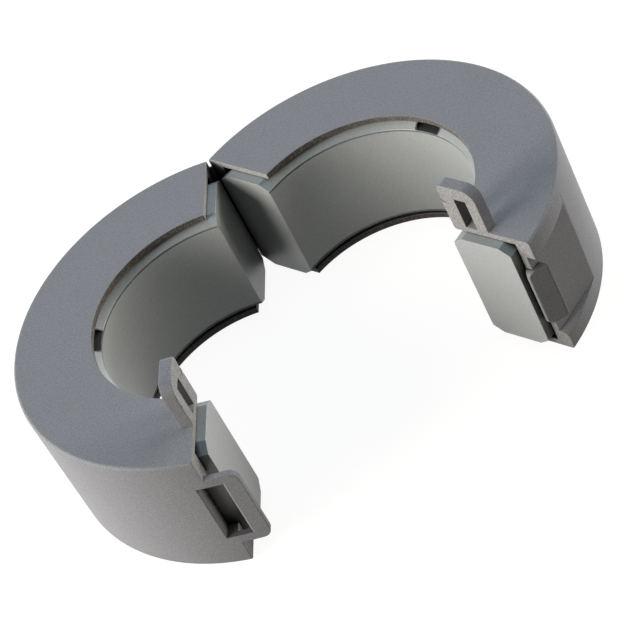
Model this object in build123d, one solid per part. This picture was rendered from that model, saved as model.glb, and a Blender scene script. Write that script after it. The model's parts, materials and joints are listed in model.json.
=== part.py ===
from build123d import *
import os
from math import cos, radians, sin, sqrt

os.makedirs("parts", exist_ok=True)

# Ferrite half rings, chamfered on all four long edges, their bore along Z
core_inner_radius = 17.3
core_outer_radius = 27.1
core_height = 19.0
core_chamfer_radial = 1.7
core_chamfer_axial = 1.05
# Left between the two ferrite faces when the clip is snapped shut
core_closed_gap = 0.06

# Case: one moulding of two half-round channels, a core loose in each
plate_thickness = 1.0
wall_thickness = 1.4
edge_round = 0.5
core_end_play = 0.1
core_side_play = 0.25
# Behind a core that is pressed fully in
core_back_play = 0.22
# The plates' bore edge stands back from the ferrite's
plate_bore_step = 0.6
# Each half stops this far short of its arc's centre plane, where the ferrite's face stands
split_setback = 1.4
# Left between the two split edges when the clip is snapped shut
closed_gap = 0.3
# Between the halves as they lie open, and at the hinge's limit
open_angle = 52.0
widest_angle = 90.0

# Film hinge: one leaf on each half, meeting at a crease on the outer wall
film_thickness = 0.3
film_top_stop = 1.4
film_bottom_stop = 2.0
film_crease_gap = 0.01
film_root = 0.3

# Nibs under the plates at mid-arc, in notches of the ferrite's bore edge
nib_width = 3.6
nib_drop = 0.85
nib_setback = 0.4
nib_thickness = 1.1
notch_side_play = 0.3
notch_end_play = 0.36

# Slotted tie tab on each half, standing on the top plate at the latch end
tab_overhang = 0.95
tab_thickness = 1.8
tab_outer_round = 2.0
tab_inner_round = 0.9
tab_foot_round = 0.6
slot_width = 1.9
slot_height = 5.3
slot_inner_land = 2.45
slot_outer_land = 1.9
slot_top_land = 2.2

# Latch loop of the left half: a flat frame past the split, flush with the wall
loop_reach = 3.2
loop_thickness = 1.0
loop_corner_round = 1.4
loop_bar_width = 2.5
loop_rail_width = 1.45
window_height = 10.5
window_wall_notch = 1.6
window_lip = 0.25

# Pocket and barb of the right half
pocket_end_play = 0.7
pocket_floor_play = 0.5
pocket_far_reach = 11.5
pocket_lip_round = 1.2
barb_end_play = 0.2
barb_lock_gap = 0.08
barb_nose_reach = 1.05
barb_nose_height = 0.45
barb_top_land = 0.35
barb_nose_round = 0.6
barb_edge_round = 0.3

# Each cut runs this far past the surface it opens
cut_margin = 1.0

# Worked out from the sizes above: how far each half's crease and pressed-in core lie past its centre plane
crease_x = split_setback - closed_gap / 2
core_press_in = crease_x + core_closed_gap / 2
core_float_out = core_press_in * (widest_angle - open_angle) / open_angle
# The two arc centres come this much closer than one ring's when the clip is shut
centre_shift = 2 * crease_x

# The channel round each core
plate_bore_radius = core_inner_radius + plate_bore_step
cavity_radius = core_outer_radius + core_press_in + core_back_play
case_radius = cavity_radius + wall_thickness
guide_y = core_outer_radius + core_side_play
case_height = core_height + 2 * (core_end_play + plate_thickness)
mid_height = case_height / 2
plate_top_under = case_height - plate_thickness
core_bottom = plate_thickness + core_end_play
core_top = core_bottom + core_height
crease_y = sqrt(case_radius**2 - crease_x**2)

# The latch, flush with the outer wall at the split
latch_face = sqrt(case_radius**2 - split_setback**2)
loop_height = window_height + 2 * loop_rail_width
bar_inner_x = loop_reach - loop_bar_width
barb_back_x = bar_inner_x + centre_shift - barb_lock_gap
pocket_half_height = loop_height / 2 + pocket_end_play
barb_half_height = window_height / 2 - barb_end_play


def upright(plan, low, high):
    """A plan outline in X and Y, raised from low to high."""
    return Pos(0, 0, low) * extrude(plan, high - low)


def plan_polygon(*points):
    """A closed plan outline through the points, seen from above."""
    return make_face(Polyline(*points, close=True))


def plan_box(x_low, x_high, y_low, y_high):
    """A plan rectangle between its limits."""
    middle = Pos((x_low + x_high) / 2, (y_low + y_high) / 2)
    return middle * Rectangle(x_high - x_low, y_high - y_low)


def channel():
    """Half-round channel on the +X side: two end plates and an outer wall, open to the bore and split."""
    beyond = 2 * case_radius
    half_plane = plan_box(split_setback, beyond, -beyond, beyond)
    body = upright((Circle(case_radius) - Circle(plate_bore_radius)) & half_plane, 0, case_height)
    rims = [
        edge
        for edge in body.edges().filter_by(GeomType.CIRCLE)
        if abs(edge.radius - case_radius) < 1e-6
    ]
    body = fillet(rims, edge_round)
    cavity_plan = Circle(cavity_radius) & plan_box(0, beyond, -guide_y, guide_y)
    return body - upright(cavity_plan, plate_thickness, plate_top_under)


def nib_plan(inner_radius, outer_radius, width):
    """A short arc band across the +X axis."""
    band = Circle(outer_radius) - Circle(inner_radius)
    return band & plan_box(0, outer_radius, -width / 2, width / 2)


def nibs():
    """Two nibs at mid-arc that keep the ferrite from turning and from falling into the bore."""
    inner = plate_bore_radius + nib_setback
    plan = nib_plan(inner, inner + nib_thickness, nib_width)
    top = upright(plan, plate_top_under - nib_drop, plate_top_under + plate_thickness / 2)
    bottom = upright(plan, plate_thickness / 2, plate_thickness + nib_drop)
    return top + bottom


def tie_tab():
    """Upright tab with a slot for a cable tie, its front face in the split plane."""
    inner_y = tab_overhang - plate_bore_radius
    slot_y = inner_y - slot_inner_land - slot_width / 2
    outer_y = slot_y - slot_width / 2 - slot_outer_land
    foot_z = plate_top_under
    top_z = case_height + slot_height + slot_top_land
    face = plan_polygon((inner_y, foot_z), (outer_y, foot_z), (outer_y, top_z), (inner_y, top_z))
    rounds = [
        ((outer_y, top_z), tab_outer_round),
        ((inner_y, top_z), tab_inner_round),
        ((inner_y, foot_z), tab_foot_round),
    ]
    for (y, z), size in rounds:
        face = fillet(face.vertices().sort_by_distance(Vector(y, z, 0))[0], size)
    slot = Pos(slot_y, case_height + slot_height / 2) * Rectangle(slot_width, slot_height)
    return Plane.YZ.offset(split_setback) * extrude(face - slot, tab_thickness)


def film_leaf():
    """This half's leaf of the film hinge, thin and flush with the outer wall."""
    low_x = crease_x + film_crease_gap / 2
    strip = plan_box(low_x, split_setback + film_root, crease_y - film_thickness, case_radius)
    return upright(strip & Circle(case_radius), film_bottom_stop, case_height - film_top_stop)


def common_half():
    """What both halves of the case share, on the +X side."""
    return channel() + nibs() + tie_tab() + film_leaf()


def latch_loop():
    """Flat frame past the left half's split edge, with rounded outer corners."""
    frame = plan_box(-split_setback, loop_reach, -latch_face, loop_thickness - latch_face)
    low = mid_height - loop_height / 2
    body = upright(frame, low, low + loop_height)
    corners = [
        edge
        for edge in body.edges().filter_by(Axis.Y)
        if abs(edge.center().X - loop_reach) < 1e-6
    ]
    return fillet(corners, loop_corner_round)


def loop_window():
    """The window in the loop, which runs on into the edge of the left wall."""
    wall_reach = -split_setback - window_wall_notch
    opening = plan_box(wall_reach, bar_inner_x, -case_radius - cut_margin, cut_margin - guide_y)
    low = mid_height - window_height / 2
    lip = plan_polygon(
        (bar_inner_x - cut_margin, -latch_face - cut_margin),
        (bar_inner_x + window_lip, -latch_face - cut_margin),
        (bar_inner_x + window_lip, -latch_face),
        (bar_inner_x, -latch_face + window_lip),
        (bar_inner_x - cut_margin, -latch_face + window_lip),
    )
    return upright(opening, low, low + window_height) + upright(lip, low, low + window_height)


def left_case_half():
    """Case half on the -X side, with the latch loop."""
    return mirror(common_half(), Plane.YZ) + latch_loop() - loop_window()


def pocket_floor_y(x):
    """The pocket's flat floor, which runs out at the wall's surface at the far reach."""
    split_y = loop_thickness + pocket_floor_play - latch_face
    far_y = -sqrt(case_radius**2 - pocket_far_reach**2)
    slope = (far_y - split_y) / (pocket_far_reach - split_setback)
    return split_y + slope * (x - split_setback)


def latch_pocket():
    """The space outside the right wall's flat floor, where the loop comes to lie."""
    plan = plan_polygon(
        (0, pocket_floor_y(0)),
        (pocket_far_reach, pocket_floor_y(pocket_far_reach)),
        (pocket_far_reach, -case_radius - cut_margin),
        (0, -case_radius - cut_margin),
    )
    low = mid_height - pocket_half_height
    lip_y = pocket_lip_round - latch_face
    corner = plan_box(-case_radius - cut_margin, lip_y, low - pocket_lip_round, low)
    corner -= Pos(lip_y, low - pocket_lip_round) * Circle(pocket_lip_round)
    return upright(plan, low, low + 2 * pocket_half_height) + Plane.YZ * extrude(corner, pocket_far_reach)


def barb():
    """Ramped barb on the pocket floor, its rounded nose past the split edge and its back square."""
    nose_x = split_setback - barb_nose_reach
    nose_y = pocket_floor_y(split_setback)
    plan = plan_polygon(
        (nose_x, nose_y + barb_nose_height),
        (nose_x, nose_y),
        (barb_back_x - barb_top_land, -latch_face),
        (barb_back_x, -latch_face),
        (barb_back_x, -guide_y),
        (split_setback, -guide_y),
    )
    low = mid_height - barb_half_height
    front = plan_box(nose_x, barb_back_x, low, low + 2 * barb_half_height)
    front = fillet(front.vertices().group_by(Axis.X)[0], barb_nose_round)
    front = fillet(front.vertices().group_by(Axis.X)[-1], barb_edge_round)
    rounded_front = Plane.XZ.offset(guide_y) * extrude(front, case_radius)
    return upright(plan, low, low + 2 * barb_half_height) & rounded_front


def right_case_half():
    """Case half on the +X side, with the pocket and barb."""
    return common_half() - latch_pocket() + barb()


def ferrite_half():
    """Half ring of ferrite on the +X side, cut through its centre plane, with notches for the nibs."""
    section = plan_polygon(
        (core_inner_radius, core_bottom + core_chamfer_axial),
        (core_inner_radius + core_chamfer_radial, core_bottom),
        (core_outer_radius - core_chamfer_radial, core_bottom),
        (core_outer_radius, core_bottom + core_chamfer_axial),
        (core_outer_radius, core_top - core_chamfer_axial),
        (core_outer_radius - core_chamfer_radial, core_top),
        (core_inner_radius + core_chamfer_radial, core_top),
        (core_inner_radius, core_top - core_chamfer_axial),
    )
    ring = revolve(Rot(0, 0, -90) * (Plane.XZ * section), Axis.Z, 180)
    nib_back = plate_bore_radius + nib_setback + nib_thickness
    cut = nib_plan(nib_width, nib_back + core_float_out + notch_end_play, nib_width + 2 * notch_side_play)
    top = upright(cut, core_top - core_chamfer_axial, core_top + cut_margin)
    bottom = upright(cut, core_bottom - cut_margin, core_bottom + core_chamfer_axial)
    return ring - top - bottom


def laid_open(shape, side):
    """A half in its place with the clip open: turned about the hinge crease."""
    return Rot(0, 0, side * open_angle / 2) * Pos(-side * crease_x, -crease_y, 0) * shape


right_core = ferrite_half()
placed = {
    "left_case_half": laid_open(left_case_half(), -1),
    "right_case_half": laid_open(right_case_half(), 1),
    "left_ferrite_core": laid_open(mirror(right_core, Plane.YZ), -1),
    "right_ferrite_core": laid_open(right_core, 1),
}

# The origin goes to the middle of the open clip's footprint, on the resting plane
footprint = Compound(list(placed.values())).bounding_box()
to_origin = Pos(-footprint.center().X, -footprint.center().Y, 0)
for name, shape in placed.items():
    export_step(to_origin * shape, f"parts/{name}.step")

half_turn = radians(open_angle / 2)
seat_x = crease_y * sin(half_turn) - crease_x * cos(half_turn)
seat_y = -crease_y * cos(half_turn) - crease_x * sin(half_turn)
print("hinge crease", -footprint.center().X, -footprint.center().Y)
print("right bore centre", seat_x - footprint.center().X, seat_y - footprint.center().Y)
print("left bore centre", -seat_x - footprint.center().X, seat_y - footprint.center().Y)
print("core pressed in", core_press_in)
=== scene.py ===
import json
from math import asin, ceil, cos, pi, radians, sin, sqrt

import bmesh
import bpy
from mathutils import Matrix, Vector


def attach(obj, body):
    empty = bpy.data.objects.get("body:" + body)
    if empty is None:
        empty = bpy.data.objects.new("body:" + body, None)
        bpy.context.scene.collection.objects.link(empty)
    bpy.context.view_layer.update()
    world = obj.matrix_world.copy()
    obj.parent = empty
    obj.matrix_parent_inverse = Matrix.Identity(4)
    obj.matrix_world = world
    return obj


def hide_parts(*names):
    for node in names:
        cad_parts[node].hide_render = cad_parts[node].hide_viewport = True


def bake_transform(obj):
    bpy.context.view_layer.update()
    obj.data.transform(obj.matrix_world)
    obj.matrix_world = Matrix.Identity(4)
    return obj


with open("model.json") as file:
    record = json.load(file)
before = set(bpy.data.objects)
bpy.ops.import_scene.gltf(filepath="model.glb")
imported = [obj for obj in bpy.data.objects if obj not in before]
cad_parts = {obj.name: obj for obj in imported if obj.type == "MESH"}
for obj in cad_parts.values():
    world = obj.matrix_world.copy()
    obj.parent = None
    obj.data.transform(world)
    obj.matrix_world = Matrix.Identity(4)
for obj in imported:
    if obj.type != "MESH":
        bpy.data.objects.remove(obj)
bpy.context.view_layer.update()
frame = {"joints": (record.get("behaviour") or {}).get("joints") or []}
scene = bpy.context.scene
scene.view_settings.view_transform = "Standard"
mm = 0.001

# Camera
# Where the photograph was taken from: above the open side of the clip, its long side tilted
# up to the right. The place was fitted to the outlines of the two halves.
camera_place = Vector((-27.553, -251.478, 226.82)) * mm
camera_aim = Vector((-0.243, -5.235, 10.6)) * mm
camera_roll = radians(-28.757)
camera_data = bpy.data.cameras.new("camera")
camera_data.sensor_width = 36
camera_data.lens = 131.476
camera_data.clip_start = 0.01
camera = bpy.data.objects.new("camera", camera_data)
level = (camera_aim - camera_place).to_track_quat("-Z", "Y").to_matrix().to_4x4()
camera.matrix_world = Matrix.Translation(camera_place) @ level @ Matrix.Rotation(camera_roll, 4, "Z")
scene.collection.objects.link(camera)
scene.camera = camera

# Case channels
# One grey moulding in matt plastic, drawn here as two half-round channels that each hold a
# ferrite half: two end plates and an outer wall with rounded rims, open to the bore and the
# split. Each half is drawn in millimetres on its own right side, its bore's axis at zero.
plate_thickness = 1.0
case_radius = 30.0
cavity_radius = 28.6
plate_bore_radius = 17.9
guide_y = 27.35
case_height = 21.2
mid_height = case_height / 2
rim_round = 0.5
split_x = 1.4
crease_x = 1.25
crease_y = sqrt(case_radius**2 - crease_x**2)
half_opening = radians(26)
hinge_y = frame["joints"][0]["pos_m"][1] / mm
beyond = 40.0  # further out than any part of a half
spare = 1.0  # how far a cutting tool reaches past what it cuts
arc_step = radians(1.5)
edge_width = 0.1


def arc(radius, start, end, centre=(0, 0), step=arc_step):
    """Points on an arc about a centre, from one angle to another."""
    count = max(2, ceil(abs(end - start) / step))
    angles = [start + (end - start) * i / count for i in range(count + 1)]
    return [(centre[0] + radius * cos(a), centre[1] + radius * sin(a)) for a in angles]


def round_corner(centre, radius, start_degrees):
    """A quarter turn about a centre, for a rounded corner."""
    return arc(radius, radians(start_degrees), radians(start_degrees + 90), centre, radians(15))


def solid(outline, low, high, along="Z"):
    """A closed outline drawn out along an axis: plan (x, y) along Z, (y, z) along X, (x, z) along Y."""
    lay = {
        "Z": lambda a, b, c: (a, b, c),
        "X": lambda a, b, c: (c, a, b),
        "Y": lambda a, b, c: (a, c, b),
    }[along]
    mesh = bmesh.new()
    first = [mesh.verts.new(lay(a, b, low)) for a, b in outline]
    second = [mesh.verts.new(lay(a, b, high)) for a, b in outline]
    mesh.faces.new(first)
    mesh.faces.new(second)
    for i in range(len(outline)):
        after = (i + 1) % len(outline)
        mesh.faces.new((first[i], first[after], second[after], second[i]))
    return finished_solid(mesh)


def turned(section, start, end):
    """A closed section (radius, height) swept about the bore's axis, with flat ends."""
    mesh = bmesh.new()
    count = ceil((end - start) / arc_step)
    rings = []
    for i in range(count + 1):
        angle = start + (end - start) * i / count
        rings.append([mesh.verts.new((r * cos(angle), r * sin(angle), z)) for r, z in section])
    for one, other in zip(rings, rings[1:]):
        for i in range(len(section)):
            after = (i + 1) % len(section)
            mesh.faces.new((one[i], one[after], other[after], other[i]))
    mesh.faces.new(rings[0])
    mesh.faces.new(rings[-1])
    return finished_solid(mesh)


def finished_solid(mesh):
    """An object from a closed mesh, its faces turned outwards."""
    bmesh.ops.recalc_face_normals(mesh, faces=mesh.faces)
    data = bpy.data.meshes.new("solid")
    mesh.to_mesh(data)
    mesh.free()
    made = bpy.data.objects.new("solid", data)
    scene.collection.objects.link(made)
    return made


def box(x_low, x_high, y_low, y_high, z_low, z_high):
    """A block between its limits."""
    return solid([(x_low, y_low), (x_high, y_low), (x_high, y_high), (x_low, y_high)], z_low, z_high)


def baked(piece):
    """The piece with what its modifiers make of it as its own plain mesh."""
    evaluated = piece.evaluated_get(bpy.context.evaluated_depsgraph_get())
    mesh = bpy.data.meshes.new_from_object(evaluated)
    piece.modifiers.clear()
    mesh.name = piece.name
    piece.data = mesh
    return piece


def carve(body, tool, operation="DIFFERENCE"):
    """Joins a solid to the body, cuts it away or keeps what they share."""
    step = body.modifiers.new("carve", "BOOLEAN")
    step.operation = operation
    step.solver = "EXACT"
    step.object = tool
    baked(body)
    bpy.data.objects.remove(tool)
    return body


def channel():
    """The half-round channel that holds a core, its rims rounded and its cavity open."""
    rim_x = case_radius - rim_round
    section = [(plate_bore_radius, 0)]
    section += round_corner((rim_x, rim_round), rim_round, -90)
    section += round_corner((rim_x, case_height - rim_round), rim_round, 0)
    section += [(plate_bore_radius, case_height)]
    body = turned(section, -pi / 2, pi / 2)
    carve(body, box(-beyond, split_x, -beyond, beyond, -spare, case_height + spare))
    end_angle = asin(guide_y / cavity_radius)
    cavity = [(-spare, -guide_y)] + arc(cavity_radius, -end_angle, end_angle) + [(-spare, guide_y)]
    return carve(body, solid(cavity, plate_thickness, case_height - plate_thickness))


# Nibs
# Two small stops moulded under the plates at mid-arc, which keep the loose ferrite from turning
# and from falling into the bore.
nib_width = 3.6
nib_drop = 0.85
nib_inner_radius = 18.9
nib_outer_radius = 19.4


def add_nibs(body):
    """Both nibs of a half, rooted in the plates."""
    inner_angle = asin(nib_width / 2 / nib_inner_radius)
    outer_angle = asin(nib_width / 2 / nib_outer_radius)
    plan = arc(nib_outer_radius, -outer_angle, outer_angle)
    plan += arc(nib_inner_radius, inner_angle, -inner_angle)
    root = plate_thickness / 2
    carve(body, solid(plan, root, plate_thickness + nib_drop), "UNION")
    top = case_height - plate_thickness
    return carve(body, solid(plan, top - nib_drop, top + root), "UNION")


# Tie tabs
# An upright slotted tab for a cable tie stands on each top plate at the latch end, flush with
# the split, with the round mark of an ejector pin on its front face.
tab_inner_y = -16.95
tab_outer_y = -23.2
tab_slot_y = -20.35
tab_slot_width = 1.9
tab_slot_height = 5.3
tab_top = 28.7
tab_thickness = 1.8
tab_foot_round = 0.6
tab_inner_round = 0.9
tab_outer_round = 2.0
mark_y = -17.75
mark_z = 26.3
mark_radius = 0.85
mark_depth = 0.07


def add_tie_tab(body):
    """The tab and its slot."""
    foot = case_height - plate_thickness
    outline = round_corner((tab_inner_y - tab_foot_round, foot + tab_foot_round), tab_foot_round, -90)
    outline += round_corner((tab_inner_y - tab_inner_round, tab_top - tab_inner_round), tab_inner_round, 0)
    outline += round_corner((tab_outer_y + tab_outer_round, tab_top - tab_outer_round), tab_outer_round, 90)
    outline += [(tab_outer_y, foot)]
    carve(body, solid(outline, split_x, split_x + tab_thickness, "X"), "UNION")
    low, high = case_height, case_height + tab_slot_height
    left, right = tab_slot_y - tab_slot_width / 2, tab_slot_y + tab_slot_width / 2
    slot = solid([(left, low), (right, low), (right, high), (left, high)], -spare, beyond, "X")
    return carve(body, slot)


def press_ejector_mark(body):
    """The shallow round mark in the tab's front face, after its edges are rounded."""
    mark = arc(mark_radius, 0, 2 * pi, (mark_y, mark_z), radians(12))[:-1]
    return carve(body, solid(mark, -spare, split_x + mark_depth, "X"))


# Latch loop
# A flat springy frame past the left half's split edge, flush with its wall. Its window snaps
# over the barb, and runs on into the edge of the wall.
latch_face = sqrt(case_radius**2 - split_x**2)
loop_reach = 3.2
loop_thickness = 1.0
loop_round = 1.4
loop_half_height = 6.7
window_half_height = 5.25
window_bar_x = 0.7
window_wall_x = 3.0
window_lip = 0.25


def add_latch_loop(body):
    """The loop and its window, on the left half as it is drawn, reaching to negative x."""
    low, high = mid_height - loop_half_height, mid_height + loop_half_height
    end = -loop_reach + loop_round
    outline = round_corner((end, high - loop_round), loop_round, 90)
    outline += round_corner((end, low + loop_round), loop_round, 180)
    outline += [(split_x, low), (split_x, high)]
    carve(body, solid(outline, -latch_face, -latch_face + loop_thickness, "Y"), "UNION")
    low, high = mid_height - window_half_height, mid_height + window_half_height
    carve(body, box(-window_bar_x, window_wall_x, -case_radius - spare, -guide_y + spare, low, high))
    lip = [
        (spare - window_bar_x, -latch_face - spare),
        (-window_bar_x - window_lip, -latch_face - spare),
        (-window_bar_x - window_lip, -latch_face),
        (-window_bar_x, -latch_face + window_lip),
        (spare - window_bar_x, -latch_face + window_lip),
    ]
    return carve(body, solid(lip, low, high))


# Pocket and barb
# The right half's wall is set back to a flat floor, where the loop comes to lie, with a ramped
# barb for the loop's window. The barb's nose is rounded and stands past the split edge.
pocket_play = 0.5
pocket_floor_split_y = loop_thickness + pocket_play - latch_face
pocket_far_x = 11.5
pocket_far_y = -sqrt(case_radius**2 - pocket_far_x**2)
pocket_half_height = 7.4
pocket_lip_round = 1.2
pocket_overlap = 0.01
barb_nose_x = 0.35
barb_nose_height = 0.45
barb_back_x = 3.12
barb_top_land = 0.35
barb_half_height = 5.05
barb_nose_round = 0.9
barb_back_round = 0.3


def pocket_floor(x):
    """How far out the pocket's floor lies, from its split edge to where it runs out."""
    slope = (pocket_far_y - pocket_floor_split_y) / (pocket_far_x - split_x)
    return pocket_floor_split_y + slope * (x - split_x)


def add_pocket_and_barb(body):
    """Cuts the pocket with its rounded lower lip, and sets the barb on its floor."""
    low, high = mid_height - pocket_half_height, mid_height + pocket_half_height
    outer = -case_radius - spare
    plan = [(0, pocket_floor(0)), (pocket_far_x, pocket_far_y), (pocket_far_x, outer), (0, outer)]
    carve(body, solid(plan, low, high))
    lip_centre = (pocket_lip_round - latch_face, low - pocket_lip_round)
    lip = round_corner(lip_centre, pocket_lip_round, 90)
    lip_top = low + pocket_overlap
    lip += [(outer, low - pocket_lip_round), (outer, lip_top), (lip_centre[0], lip_top)]
    carve(body, solid(lip, 0, pocket_far_x, "X"))
    plan = [
        (barb_nose_x, pocket_floor(split_x) + barb_nose_height),
        (barb_nose_x, pocket_floor(split_x)),
        (barb_back_x - barb_top_land, -latch_face),
        (barb_back_x, -latch_face),
        (barb_back_x, -guide_y),
        (split_x, -guide_y),
    ]
    low, high = mid_height - barb_half_height, mid_height + barb_half_height
    nose, back = barb_nose_x + barb_nose_round, barb_back_x - barb_back_round
    front = round_corner((nose, high - barb_nose_round), barb_nose_round, 90)
    front += round_corner((nose, low + barb_nose_round), barb_nose_round, 180)
    front += round_corner((back, low + barb_back_round), barb_back_round, 270)
    front += round_corner((back, high - barb_back_round), barb_back_round, 0)
    barb = solid(plan, low, high)
    carve(barb, solid(front, outer, 0, "Y"), "INTERSECT")
    return carve(body, barb, "UNION")


# Case halves
# The two halves of the moulding as they lie open, 52 degrees apart about the crease. Every outer
# edge keeps the slight round of the mould. The edges where the plastic was cut or parted are only
# mottled in colour, and the cut bore edges are also painted darker and browner as painted shade.
# The material paints shade into slots and gaps, which show nearly black.
case_colour = (0.275, 0.28, 0.295)
# Painted shade: the colour that darkens and browns the plates' bore edges.
bore_edge_shade_colour = (0.27, 0.243, 0.226)
split_edge_colour = (0.276, 0.274, 0.27)
# Painted shade: the colour that slots and gaps fall off to, and how much of it the faces in the slot, the
# window and the channel carry.
case_gap_shade_colour = (0.02, 0.016, 0.014)
slot_painted_shade = 0.75
hidden_painted_shade = 0.6
near_face = 0.1
facing = 0.9
noise_span = {"from_low": 0.3, "from_high": 0.7}


def add_node(tree, kind, inputs=None, **settings):
    """One node of a tree with its settings and plain input values."""
    node = tree.nodes.new(kind)
    for name, value in settings.items():
        setattr(node, name, value)
    for name, value in (inputs or {}).items():
        node.inputs[name].default_value = value
    return node


def noise_at(tree, place, scale, detail, roughness=0.5):
    """Noise over the piece's own coordinates."""
    node = add_node(tree, "ShaderNodeTexNoise", {"Scale": scale, "Detail": detail, "Roughness": roughness})
    tree.links.new(place.outputs["Object"], node.inputs["Vector"])
    return node.outputs["Fac"]


def ranged(tree, value, low, high, from_low=0.0, from_high=1.0, kind="LINEAR"):
    """A value carried over from one range to another."""
    ends = {"From Min": from_low, "From Max": from_high, "To Min": low, "To Max": high}
    node = add_node(tree, "ShaderNodeMapRange", ends, interpolation_type=kind)
    tree.links.new(value, node.inputs["Value"])
    return node.outputs["Result"]


def product(tree, one, other):
    """Two values multiplied."""
    node = add_node(tree, "ShaderNodeMath", operation="MULTIPLY")
    tree.links.new(one, node.inputs[0])
    tree.links.new(other, node.inputs[1])
    return node.outputs["Value"]


def toned(tree, colour, tone):
    """A plain colour made lighter and darker by a value."""
    node = add_node(tree, "ShaderNodeVectorMath", {0: colour}, operation="SCALE")
    tree.links.new(tone, node.inputs["Scale"])
    return node.outputs["Vector"]


def marked(tree, name):
    """The number that the piece's faces carry under a name, nothing where they carry none."""
    return add_node(tree, "ShaderNodeAttribute", attribute_name=name).outputs["Fac"]


def mixed(tree, factor, start, end):
    """One colour passing into another."""
    node = add_node(tree, "ShaderNodeMix", data_type="RGBA")
    tree.links.new(factor, node.inputs["Factor"])
    for socket, colour in ((node.inputs["A"], start), (node.inputs["B"], end)):
        if isinstance(colour, tuple):
            socket.default_value = (*colour, 1)
        else:
            tree.links.new(colour, socket)
    return node.outputs["Result"]


def shade_painted_in_gaps(tree, colour, reach, from_open, to_open, gap_shade_colour):
    """The colour with a painted shade, which falls off to a dark brown in gaps and slots, where little
    light gets in.

    Faces that only a slot or a gap lets one see carry the rest of this painted shade as a face attribute.
    """
    opening = add_node(tree, "ShaderNodeAmbientOcclusion", {"Distance": reach * mm}, samples=8)
    openness = ranged(tree, opening.outputs["AO"], 0.0, 1.0, from_open, to_open, kind="SMOOTHSTEP")
    shallow = add_node(tree, "ShaderNodeMath", {0: 1.0}, operation="SUBTRACT")
    tree.links.new(marked(tree, "painted_gap_shade"), shallow.inputs[1])
    return mixed(tree, product(tree, openness, shallow.outputs["Value"]), gap_shade_colour, colour)


def grained_surface(tree, shader, colour, grain, rough, strength, height):
    """Gives a shader its colour, and the grain's roughness and relief."""
    link = tree.links.new
    bump = add_node(tree, "ShaderNodeBump", {"Strength": strength, "Distance": height})
    link(colour, shader.inputs["Base Color"])
    link(ranged(tree, grain, *rough), shader.inputs["Roughness"])
    link(grain, bump.inputs["Height"])
    link(bump.outputs["Normal"], shader.inputs["Normal"])


def case_plastic():
    """Grey plastic with a fine matt grain, a painted shade that makes the bore edges darker and browner,
    paler on the split edges.
    """
    material = bpy.data.materials.new("case_plastic")
    material.use_nodes = True
    tree = material.node_tree
    shader = tree.nodes["Principled BSDF"]
    shader.inputs["Specular IOR Level"].default_value = 0.12
    place = add_node(tree, "ShaderNodeTexCoord")
    grain = noise_at(tree, place, 6500, 2, 0.6)
    flecks = noise_at(tree, place, 4200, 2)
    speckle = ranged(tree, grain, 0.74, 1.26, **noise_span)
    clouding = ranged(tree, noise_at(tree, place, 160, 4), 0.985, 1.015, **noise_span)
    colour = toned(tree, case_colour, product(tree, speckle, clouding))
    # Painted shade on the bore edges, mottled by the flecks.
    bore_edge_shade = toned(tree, bore_edge_shade_colour, ranged(tree, flecks, 0.4, 0.95, 0.5, 0.66))
    split_edge_tone = toned(tree, split_edge_colour, ranged(tree, flecks, 0.95, 1.55, 0.42, 0.64))
    colour = mixed(tree, marked(tree, "bore_edge_painted_shade"), colour, bore_edge_shade)
    colour = mixed(tree, marked(tree, "split_edge"), colour, split_edge_tone)
    # Painted shade in gaps and slots, from ambient occlusion and the faces' marks.
    colour = shade_painted_in_gaps(tree, colour, 5.0, 0.12, 0.56, case_gap_shade_colour)
    grained_surface(tree, shader, colour, grain, (0.48, 0.62), 0.35, 0.00003)
    return material


def mark_faces(piece, name, value_of):
    """Writes a number for each face, which the piece's material reads."""
    marks = piece.data.attributes.new(name, "FLOAT", "FACE")
    for face in piece.data.polygons:
        marks.data[face.index].value = value_of(face.center, face.normal)


def bore_edge_painted_shade(point, normal):
    """The plates' edges round the bore, which get a mottled painted shade, darker and browner."""
    at_bore = point.xy.length < plate_bore_radius + edge_width
    return 1.0 if at_bore and normal.xy.dot(point.xy.normalized()) < -facing else 0.0


def split_edge(point, normal):
    """The edges where the two halves part, and the tab's front."""
    return 1.0 if normal.x < -facing and abs(point.x - split_x) < edge_width else 0.0


def painted_shade_in_case(point, normal):
    """The walls of the tab's slot, of the loop's window and of the channel behind them, which get painted
    shade.
    """
    across_slot = abs(point.y - tab_slot_y) < tab_slot_width / 2 + 0.05
    if case_height < point.z < tab_top - 1 and across_slot and abs(normal.x) < 0.3:
        return slot_painted_shade
    in_wall = point.y < -cavity_radius - 0.3 and abs(normal.y) < 0.6
    in_window = -window_bar_x - near_face < point.x < window_wall_x + 0.3
    if in_wall and in_window and abs(point.z - mid_height) < window_half_height + near_face:
        return hidden_painted_shade
    low, high = plate_thickness - 0.01, case_height - plate_thickness + 0.01
    in_channel = low < point.z < high and point.x > split_x + 0.2
    in_channel = in_channel and nib_outer_radius < point.xy.length < cavity_radius + 0.05
    return hidden_painted_shade if in_channel else 0.0


def place_of_half(side):
    """From a half as it is drawn, in millimetres, to where it lies in the open clip."""
    place = Matrix.Scale(mm, 4) @ Matrix.Translation((0, hinge_y, 0))
    place = place @ Matrix.Rotation(side * half_opening, 4, "Z")
    place = place @ Matrix.Translation((-side * crease_x, -crease_y, 0))
    return place @ Matrix.Diagonal((side, 1, 1, 1))


def laid_open(piece, side):
    """Puts a half where it lies in the open clip, mirrored on the left, and shades it."""
    piece.data.transform(place_of_half(side))
    if side < 0:
        piece.data.flip_normals()
    shade_as_turned(piece.data, place_of_half(side).translation)


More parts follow.
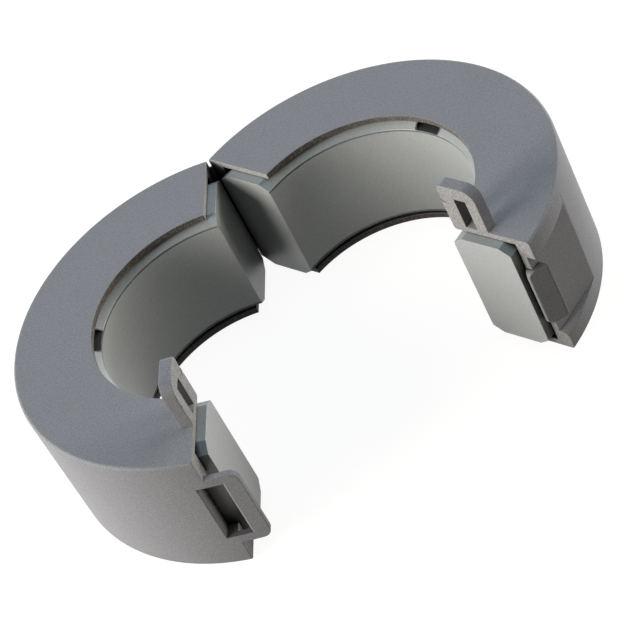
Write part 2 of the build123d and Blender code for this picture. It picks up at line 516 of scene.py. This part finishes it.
def soften_edges(piece, width, sharp=radians(30)):
    """Joins the flats that the cuts left divided and rounds the sharp outer edges."""
    weld = 0.002
    flat_angle = radians(0.1)
    mesh = bmesh.new()
    mesh.from_mesh(piece.data)
    bmesh.ops.remove_doubles(mesh, verts=mesh.verts, dist=weld)
    bmesh.ops.dissolve_limit(mesh, angle_limit=flat_angle, verts=mesh.verts, edges=mesh.edges)
    weight = mesh.edges.layers.float.new("bevel_weight_edge")
    for edge in mesh.edges:
        if edge.is_manifold and edge.is_convex and edge.calc_face_angle() > sharp:
            edge[weight] = 1
    mesh.to_mesh(piece.data)
    mesh.free()
    bevel = piece.modifiers.new("edges", "BEVEL")
    bevel.width = width
    bevel.segments = 3
    bevel.limit_method = "WEIGHT"
    bevel.use_clamp_overlap = False
    return baked(piece)


def shade_as_turned(mesh, axis, crease=cos(radians(50)), widest=radians(2)):
    """Smooth shading with the true normals of faces turned about the bore, and flat ones kept flat."""
    aslant = 0.02
    level_face = 0.999

    def across(point):
        return Vector((point.x - axis.x, point.y - axis.y, 0)).normalized()

    def normal_at(face, out):
        if turned_part[face] is None:
            return flat[face]
        return out * turned_part[face] + Vector((0, 0, flat[face].z))

    points = [vertex.co.copy() for vertex in mesh.vertices]
    flat = [face.normal.copy() for face in mesh.polygons]
    turned_part = []
    meeting = [[] for _ in points]
    for face in mesh.polygons:
        out = across(face.center)
        along = Vector((-out.y, out.x, 0))
        narrow = max(abs(across(points[v]).dot(along)) for v in face.vertices) < widest
        turned_face = abs(face.normal.dot(along)) < aslant and (narrow or abs(face.normal.z) > level_face)
        turned_part.append(face.normal.dot(out) if turned_face else None)
        for v in face.vertices:
            meeting[v].append(face.index)
    area = [face.area for face in mesh.polygons]
    normals = []
    for face in mesh.polygons:
        for v in face.vertices:
            out = across(points[v])
            own = normal_at(face.index, out)
            total = Vector((0, 0, 0))
            for other in meeting[v]:
                near = normal_at(other, out)
                if near.dot(own) > crease:
                    total += near * area[other]
            normals.append(total.normalized() if total.length > 0 else own)
    mesh.shade_smooth()
    mesh.normals_split_custom_set(normals)


plastic = case_plastic()
for side, name, add_latch in ((-1, "left", add_latch_loop), (1, "right", add_pocket_and_barb)):
    half = add_latch(add_tie_tab(add_nibs(channel())))
    half.name = f"{name}_case_moulding"
    soften_edges(half, edge_width)
    press_ejector_mark(half)
    # Face marks for the painted shade on the bore edges and in slots and gaps, and for the split edges'
    # mottle.
    mark_faces(half, "bore_edge_painted_shade", bore_edge_painted_shade)
    mark_faces(half, "split_edge", split_edge)
    mark_faces(half, "painted_gap_shade", painted_shade_in_case)
    laid_open(half, side)
    half.data.materials.clear()
    half.data.materials.append(plastic)
    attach(half, f"{name}_case")
    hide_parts(f"{name}_case_half")


# Hinge film
# The thin web moulded between the two split edges, flush with the outer wall. On the real clip it
# bends when the clip opens and shuts; here it is one fixed piece, drawn as it lies open, that
# crosses from one half to the other.
film_thickness = 0.32
film_low_z = 2.0
film_high_z = 19.8
film_root_x = 2.1
film_skin = 0.02
film_steps = 14
film_crowding = 1.5
film_crease_round = 0.0001


def film_line(depth):
    """Points across the web at a depth under the outer wall, from the left root to the right root."""
    right = []
    for i in range(film_steps + 1):
        x = crease_x + (film_root_x - crease_x) * (i / film_steps) ** film_crowding
        y = sqrt((case_radius - depth) ** 2 - x**2)
        turned_x = (x - crease_x) * cos(half_opening) - (y - crease_y) * sin(half_opening)
        turned_y = (x - crease_x) * sin(half_opening) + (y - crease_y) * cos(half_opening)
        right.append((sqrt(max(turned_x, 0) ** 2 + film_crease_round), turned_y + hinge_y))
    return [(-x, y) for x, y in reversed(right)] + right


film_outline = film_line(film_skin) + list(reversed(film_line(film_thickness)))
film = solid(film_outline, film_low_z, film_high_z)
film.name = "hinge_film"
film_mesh = bmesh.new()
film_mesh.from_mesh(film.data)
bmesh.ops.triangulate(film_mesh, faces=[face for face in film_mesh.faces if len(face.verts) > 4])
film_mesh.to_mesh(film.data)
film_mesh.free()
film.data.transform(Matrix.Scale(mm, 4))
film.data.materials.append(plastic)
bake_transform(film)


# Ferrite halves
# Two pressed and fired half rings with chamfered edges, their split faces ground flat. Each is
# loose in its channel, with a notch at each end of its bore for the case's nibs. The notches'
# faces are painted nearly black as painted shade, and the material paints shade into the gaps.
ferrite_colour = (0.40, 0.42, 0.41)
# Painted shade: the nearly black colour of the notch faces.
notch_painted_shade_colour = (0.035, 0.034, 0.033)
# Painted shade: the colour that the ferrite falls off to in gaps and on its outer face.
ferrite_gap_shade_colour = (0.02, 0.018, 0.016)
ferrite_edge_width = 0.07
core_back_radius = 26
line_low = 0.36
line_high = 0.06
line_depth = 0.2
line_over = 0.1
line_end = 0.01
ferrite_sizes = {
    "inner radius": 17.3,
    "outer radius": 27.1,
    "height": 19.0,
    "low end": 1.1,
    "radial chamfer": 1.7,
    "axial chamfer": 1.05,
    "notch reach": 20.695,
    "notch width": 4.2,
    "notch depth": 1.05,
    "arc steps": 121,
}


def ferrite(name, colour_of_it, rough_from, rough_to):
    """Fired ferrite in a colour, with a fine mottle and painted shade in gaps."""
    material = bpy.data.materials.new(name)
    material.use_nodes = True
    tree = material.node_tree
    shader = tree.nodes["Principled BSDF"]
    shader.inputs["IOR"].default_value = 1.62
    grain = noise_at(tree, add_node(tree, "ShaderNodeTexCoord"), 5200, 3, 0.6)
    colour = toned(tree, colour_of_it, ranged(tree, grain, 0.85, 1.15, **noise_span))
    # Painted shade in gaps, from ambient occlusion and the faces' marks.
    colour = shade_painted_in_gaps(tree, colour, 4.0, 0.1, 0.5, ferrite_gap_shade_colour)
    grained_surface(tree, shader, colour, grain, (rough_from, rough_to), 0.2, 0.00002)
    return material


def half_ring_tree(ground, notch_shade):
    """Sweeps a chamfered section half a turn about the bore's axis and cuts the notches for the nibs."""
    tree = bpy.data.node_groups.new("half_ring", "GeometryNodeTree")
    sizes = (
        "inner radius", "outer radius", "height", "low end", "radial chamfer", "axial chamfer",
        "notch reach", "notch width", "notch depth",
    )
    for size in sizes:
        tree.interface.new_socket(name=size, in_out="INPUT", socket_type="NodeSocketFloat")
    tree.interface.new_socket(name="arc steps", in_out="INPUT", socket_type="NodeSocketInt")
    tree.interface.new_socket(name="Geometry", in_out="OUTPUT", socket_type="NodeSocketGeometry")
    given = add_node(tree, "NodeGroupInput").outputs
    link = tree.links.new

    def math(operation, *values):
        node = add_node(tree, "ShaderNodeMath", operation=operation)
        for socket, value in zip(node.inputs, values):
            if isinstance(value, (int, float)):
                socket.default_value = value
            else:
                link(value, socket)
        return node.outputs[0]

    # Section: an octagon whose corners move out to the chamfers' ends
    octagon = add_node(tree, "GeometryNodeCurvePrimitiveCircle", {"Resolution": 8, "Radius": 1.0})
    turn = add_node(tree, "GeometryNodeTransform", {"Rotation": (0, 0, pi / 8)})
    link(octagon.outputs["Curve"], turn.inputs["Geometry"])
    corner = add_node(tree, "ShaderNodeSeparateXYZ")
    link(add_node(tree, "GeometryNodeInputPosition").outputs[0], corner.inputs[0])
    sideways, upright = (math("ABSOLUTE", corner.outputs[axis]) for axis in (0, 1))
    on_side = math("GREATER_THAN", sideways, upright)
    on_end = math("SUBTRACT", 1.0, on_side)
    half_width = math("MULTIPLY", math("SUBTRACT", given["outer radius"], given["inner radius"]), 0.5)
    half_height = math("MULTIPLY", given["height"], 0.5)
    across = math("SUBTRACT", half_width, math("MULTIPLY", on_end, given["radial chamfer"]))
    along = math("SUBTRACT", half_height, math("MULTIPLY", on_side, given["axial chamfer"]))
    drawn = add_node(tree, "ShaderNodeCombineXYZ")
    link(math("MULTIPLY", math("SIGN", corner.outputs[0]), across), drawn.inputs[0])
    link(math("MULTIPLY", math("SIGN", corner.outputs[1]), along), drawn.inputs[1])
    section = add_node(tree, "GeometryNodeSetPosition")
    link(turn.outputs[0], section.inputs["Geometry"])
    link(drawn.outputs[0], section.inputs["Position"])

    # A straight bar of that section, one unit long, is bent half round
    line = add_node(tree, "GeometryNodeCurvePrimitiveLine", {"Start": (0, 0, 0), "End": (0, 0, 1)})
    steps = add_node(tree, "GeometryNodeResampleCurve")
    link(line.outputs["Curve"], steps.inputs["Curve"])
    link(given["arc steps"], steps.inputs["Count"])
    bar = add_node(tree, "GeometryNodeCurveToMesh", {"Fill Caps": True})
    link(steps.outputs["Curve"], bar.inputs["Curve"])
    link(section.outputs["Geometry"], bar.inputs["Profile Curve"])
    point = add_node(tree, "ShaderNodeSeparateXYZ")
    link(add_node(tree, "GeometryNodeInputPosition").outputs[0], point.inputs[0])
    angle = math("MULTIPLY", math("SUBTRACT", point.outputs[2], 0.5), pi)
    mean_radius = math("MULTIPLY", math("ADD", given["outer radius"], given["inner radius"]), 0.5)
    radius = math("ADD", mean_radius, point.outputs[0])
    bent = add_node(tree, "ShaderNodeCombineXYZ")
    link(math("MULTIPLY", radius, math("COSINE", angle)), bent.inputs[0])
    link(math("MULTIPLY", radius, math("SINE", angle)), bent.inputs[1])
    link(math("ADD", math("ADD", given["low end"], half_height), point.outputs[1]), bent.inputs[2])
    ring = add_node(tree, "GeometryNodeSetPosition")
    link(bar.outputs["Mesh"], ring.inputs["Geometry"])
    link(bent.outputs[0], ring.inputs["Position"])
    welded = add_node(tree, "GeometryNodeMergeByDistance", {"Distance": 0.001})
    link(ring.outputs["Geometry"], welded.inputs["Geometry"])

    # Notches: a block with a round back, cut into both ends of the bore, which leaves its own faces in the
    # nearly black painted shade material
    back = add_node(tree, "GeometryNodeMeshCylinder", {"Vertices": 240})
    link(given["notch reach"], back.inputs["Radius"])
    link(math("MULTIPLY", given["notch depth"], 2.0), back.inputs["Depth"])
    block_size = add_node(tree, "ShaderNodeCombineXYZ")
    link(math("MULTIPLY", given["notch reach"], 4.0), block_size.inputs[0])
    link(given["notch width"], block_size.inputs[1])
    link(math("MULTIPLY", given["notch depth"], 4.0), block_size.inputs[2])
    block = add_node(tree, "GeometryNodeMeshCube")
    link(block_size.outputs[0], block.inputs["Size"])
    plug = add_node(tree, "GeometryNodeMeshBoolean", operation="INTERSECT", solver="EXACT")
    link(back.outputs["Mesh"], plug.inputs["Mesh 2"])
    link(block.outputs["Mesh"], plug.inputs["Mesh 2"])
    plain = add_node(tree, "GeometryNodeSetMaterial", {"Material": ground})
    dark = add_node(tree, "GeometryNodeSetMaterial", {"Material": notch_shade})
    link(welded.outputs["Geometry"], plain.inputs["Geometry"])
    link(plug.outputs["Mesh"], dark.inputs["Geometry"])
    cut = add_node(tree, "GeometryNodeMeshBoolean", operation="DIFFERENCE", solver="EXACT")
    link(plain.outputs["Geometry"], cut.inputs["Mesh 1"])
    for end in (given["low end"], math("ADD", given["low end"], given["height"])):
        at = add_node(tree, "ShaderNodeCombineXYZ")
        link(end, at.inputs[2])
        moved = add_node(tree, "GeometryNodeTransform")
        link(dark.outputs["Geometry"], moved.inputs["Geometry"])
        link(at.outputs[0], moved.inputs["Translation"])
        link(moved.outputs["Geometry"], cut.inputs["Mesh 2"])

    real = add_node(tree, "GeometryNodeRealizeInstances")
    in_notch = add_node(tree, "GeometryNodeMaterialSelection", {"Material": notch_shade})
    elsewhere = add_node(tree, "FunctionNodeBooleanMath", operation="NOT")
    paint = add_node(tree, "GeometryNodeSetMaterial", {"Material": ground})
    link(cut.outputs["Mesh"], real.inputs["Geometry"])
    link(in_notch.outputs["Selection"], elsewhere.inputs[0])
    link(real.outputs["Geometry"], paint.inputs["Geometry"])
    link(elsewhere.outputs["Boolean"], paint.inputs["Selection"])
    link(paint.outputs["Geometry"], add_node(tree, "NodeGroupOutput").inputs[0])
    return tree


def from_tree(name, tree, values):
    """A new object whose mesh a node tree makes from the given sizes."""
    made = bpy.data.objects.new(name, bpy.data.meshes.new(name))
    scene.collection.objects.link(made)
    step = made.modifiers.new("tree", "NODES")
    step.node_group = tree
    for socket in tree.interface.items_tree:
        if socket.in_out == "INPUT" and socket.name in values:
            step[socket.identifier] = values[socket.name]
    return baked(made)


def painted_shade_in_channel(point, normal):
    """The core's outer face, which is seen only through the gap and the loop's window, and gets painted
    shade.
    """
    outwards = normal.xy.dot(point.xy.normalized()) > facing
    return hidden_painted_shade if outwards and point.xy.length > core_back_radius else 0.0


def press_line(core, bore, corner_z, upward):
    """The fine line that the press leaves round the bore, just inside the chamfer."""
    near, far = corner_z - upward * line_high, corner_z - upward * line_low
    inside, back = bore - line_over, bore + line_depth
    line = [(inside, far), (back, far), (back, near), (inside, near)]
    return carve(core, turned(line, -pi / 2 - line_end, pi / 2 + line_end))


ground_ferrite = ferrite("ferrite", ferrite_colour, 0.34, 0.46)
# The notch faces get this material, a nearly black painted shade.
notch_shade_ferrite = ferrite("ferrite_notch_painted_shade", notch_painted_shade_colour, 0.6, 0.75)
half_ring = half_ring_tree(ground_ferrite, notch_shade_ferrite)
for side, name in ((-1, "left"), (1, "right")):
    core = from_tree(f"{name}_ferrite_half", half_ring, ferrite_sizes)
    soften_edges(core, ferrite_edge_width, radians(25))
    bore, chamfer = ferrite_sizes["inner radius"], ferrite_sizes["axial chamfer"]
    low, height = ferrite_sizes["low end"], ferrite_sizes["height"]
    press_line(core, bore, low + chamfer, -1)
    press_line(core, bore, low + height - chamfer, 1)
    # The core's outer face is marked for painted shade.
    mark_faces(core, "painted_gap_shade", painted_shade_in_channel)
    laid_open(core, side)
    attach(core, f"{name}_core")
    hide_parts(f"{name}_ferrite_core")


# Floor
# The plain white surface that the open clip lies on. It shows white to the eye and in reflections,
# with a trace of the clip's shadow, and throws only a little light back up.
floor_reach = 12.0
floor_glow = 0.93
floor_colour = (0.22, 0.185, 0.155, 1)


def seen_ray(tree):
    """One for rays from the eye, mirrored or passed on, and nothing for scattered light."""
    path = add_node(tree, "ShaderNodeLightPath")
    seen = path.outputs["Is Camera Ray"]
    for kind in ("Is Glossy Ray", "Is Transmission Ray"):
        either = add_node(tree, "ShaderNodeMath", operation="MAXIMUM")
        tree.links.new(seen, either.inputs[0])
        tree.links.new(path.outputs[kind], either.inputs[1])
        seen = either.outputs["Value"]
    return seen


def white_surface():
    """Pale diffuse ground that also glows for the rays that are seen."""
    material = bpy.data.materials.new("white_floor")
    material.use_nodes = True
    tree = material.node_tree
    shader = tree.nodes["Principled BSDF"]
    shader.inputs["Base Color"].default_value = floor_colour
    shader.inputs["Roughness"].default_value = 0.9
    shader.inputs["Specular IOR Level"].default_value = 0.0
    shader.inputs["Emission Color"].default_value = (1, 1, 1, 1)
    glow = add_node(tree, "ShaderNodeMath", {1: floor_glow}, operation="MULTIPLY")
    tree.links.new(seen_ray(tree), glow.inputs[0])
    tree.links.new(glow.outputs["Value"], shader.inputs["Emission Strength"])
    return material


floor_mesh = bpy.data.meshes.new("floor")
floor_corners = [(floor_reach * x, floor_reach * y, 0) for x, y in ((-1, -1), (1, -1), (1, 1), (-1, 1))]
floor_mesh.from_pydata(floor_corners, [], [(0, 1, 2, 3)])
floor_mesh.materials.append(white_surface())
floor = bpy.data.objects.new("floor", floor_mesh)
scene.collection.objects.link(floor)

# Light
# Broad studio lamps, low behind the clip and warmer at its flanks, with a faint blue one above. None
# stands in front, so that the walls darken towards the latch ends.
lamp_distance = 0.8
lamp_size = 0.4
room_glow = 0.5
world = bpy.data.worlds.new("room")
world.use_nodes = True
room = world.node_tree.nodes["Background"]
room.inputs["Color"].default_value = (1, 1, 1, 1)
room_seen = add_node(world.node_tree, "ShaderNodeMath", {1: room_glow}, operation="MULTIPLY")
world.node_tree.links.new(seen_ray(world.node_tree), room_seen.inputs[0])
world.node_tree.links.new(room_seen.outputs["Value"], room.inputs["Strength"])
scene.world = world


def lamp(name, azimuth, elevation, power, colour):
    """A square lamp turned to the clip, from an azimuth and a height given in degrees."""
    data = bpy.data.lights.new(name, "AREA")
    data.shape = "SQUARE"
    data.size = lamp_size
    data.energy = power
    data.color = colour
    around, up = radians(azimuth), radians(elevation)
    direction = Vector((cos(around) * cos(up), sin(around) * cos(up), sin(up)))
    lamp_object = bpy.data.objects.new(name, data)
    lamp_object.location = direction * lamp_distance
    lamp_object.rotation_euler = (-direction).to_track_quat("-Z", "Y").to_euler()
    scene.collection.objects.link(lamp_object)


lamp("left_back", 150, 8, 5.4, (1.0, 0.97, 0.97))
lamp("left", 188, 20, 6.2, (1.0, 0.96, 0.9))
lamp("right_back", 28, 8, 5.6, (0.97, 0.96, 0.97))
lamp("back", 65, 8, 2.0, (0.9, 0.95, 1.0))
lamp("right", -2, 16, 3.2, (1.0, 0.95, 0.88))
lamp("above", 110, 80, 1.1, (0.4, 0.72, 1.0))
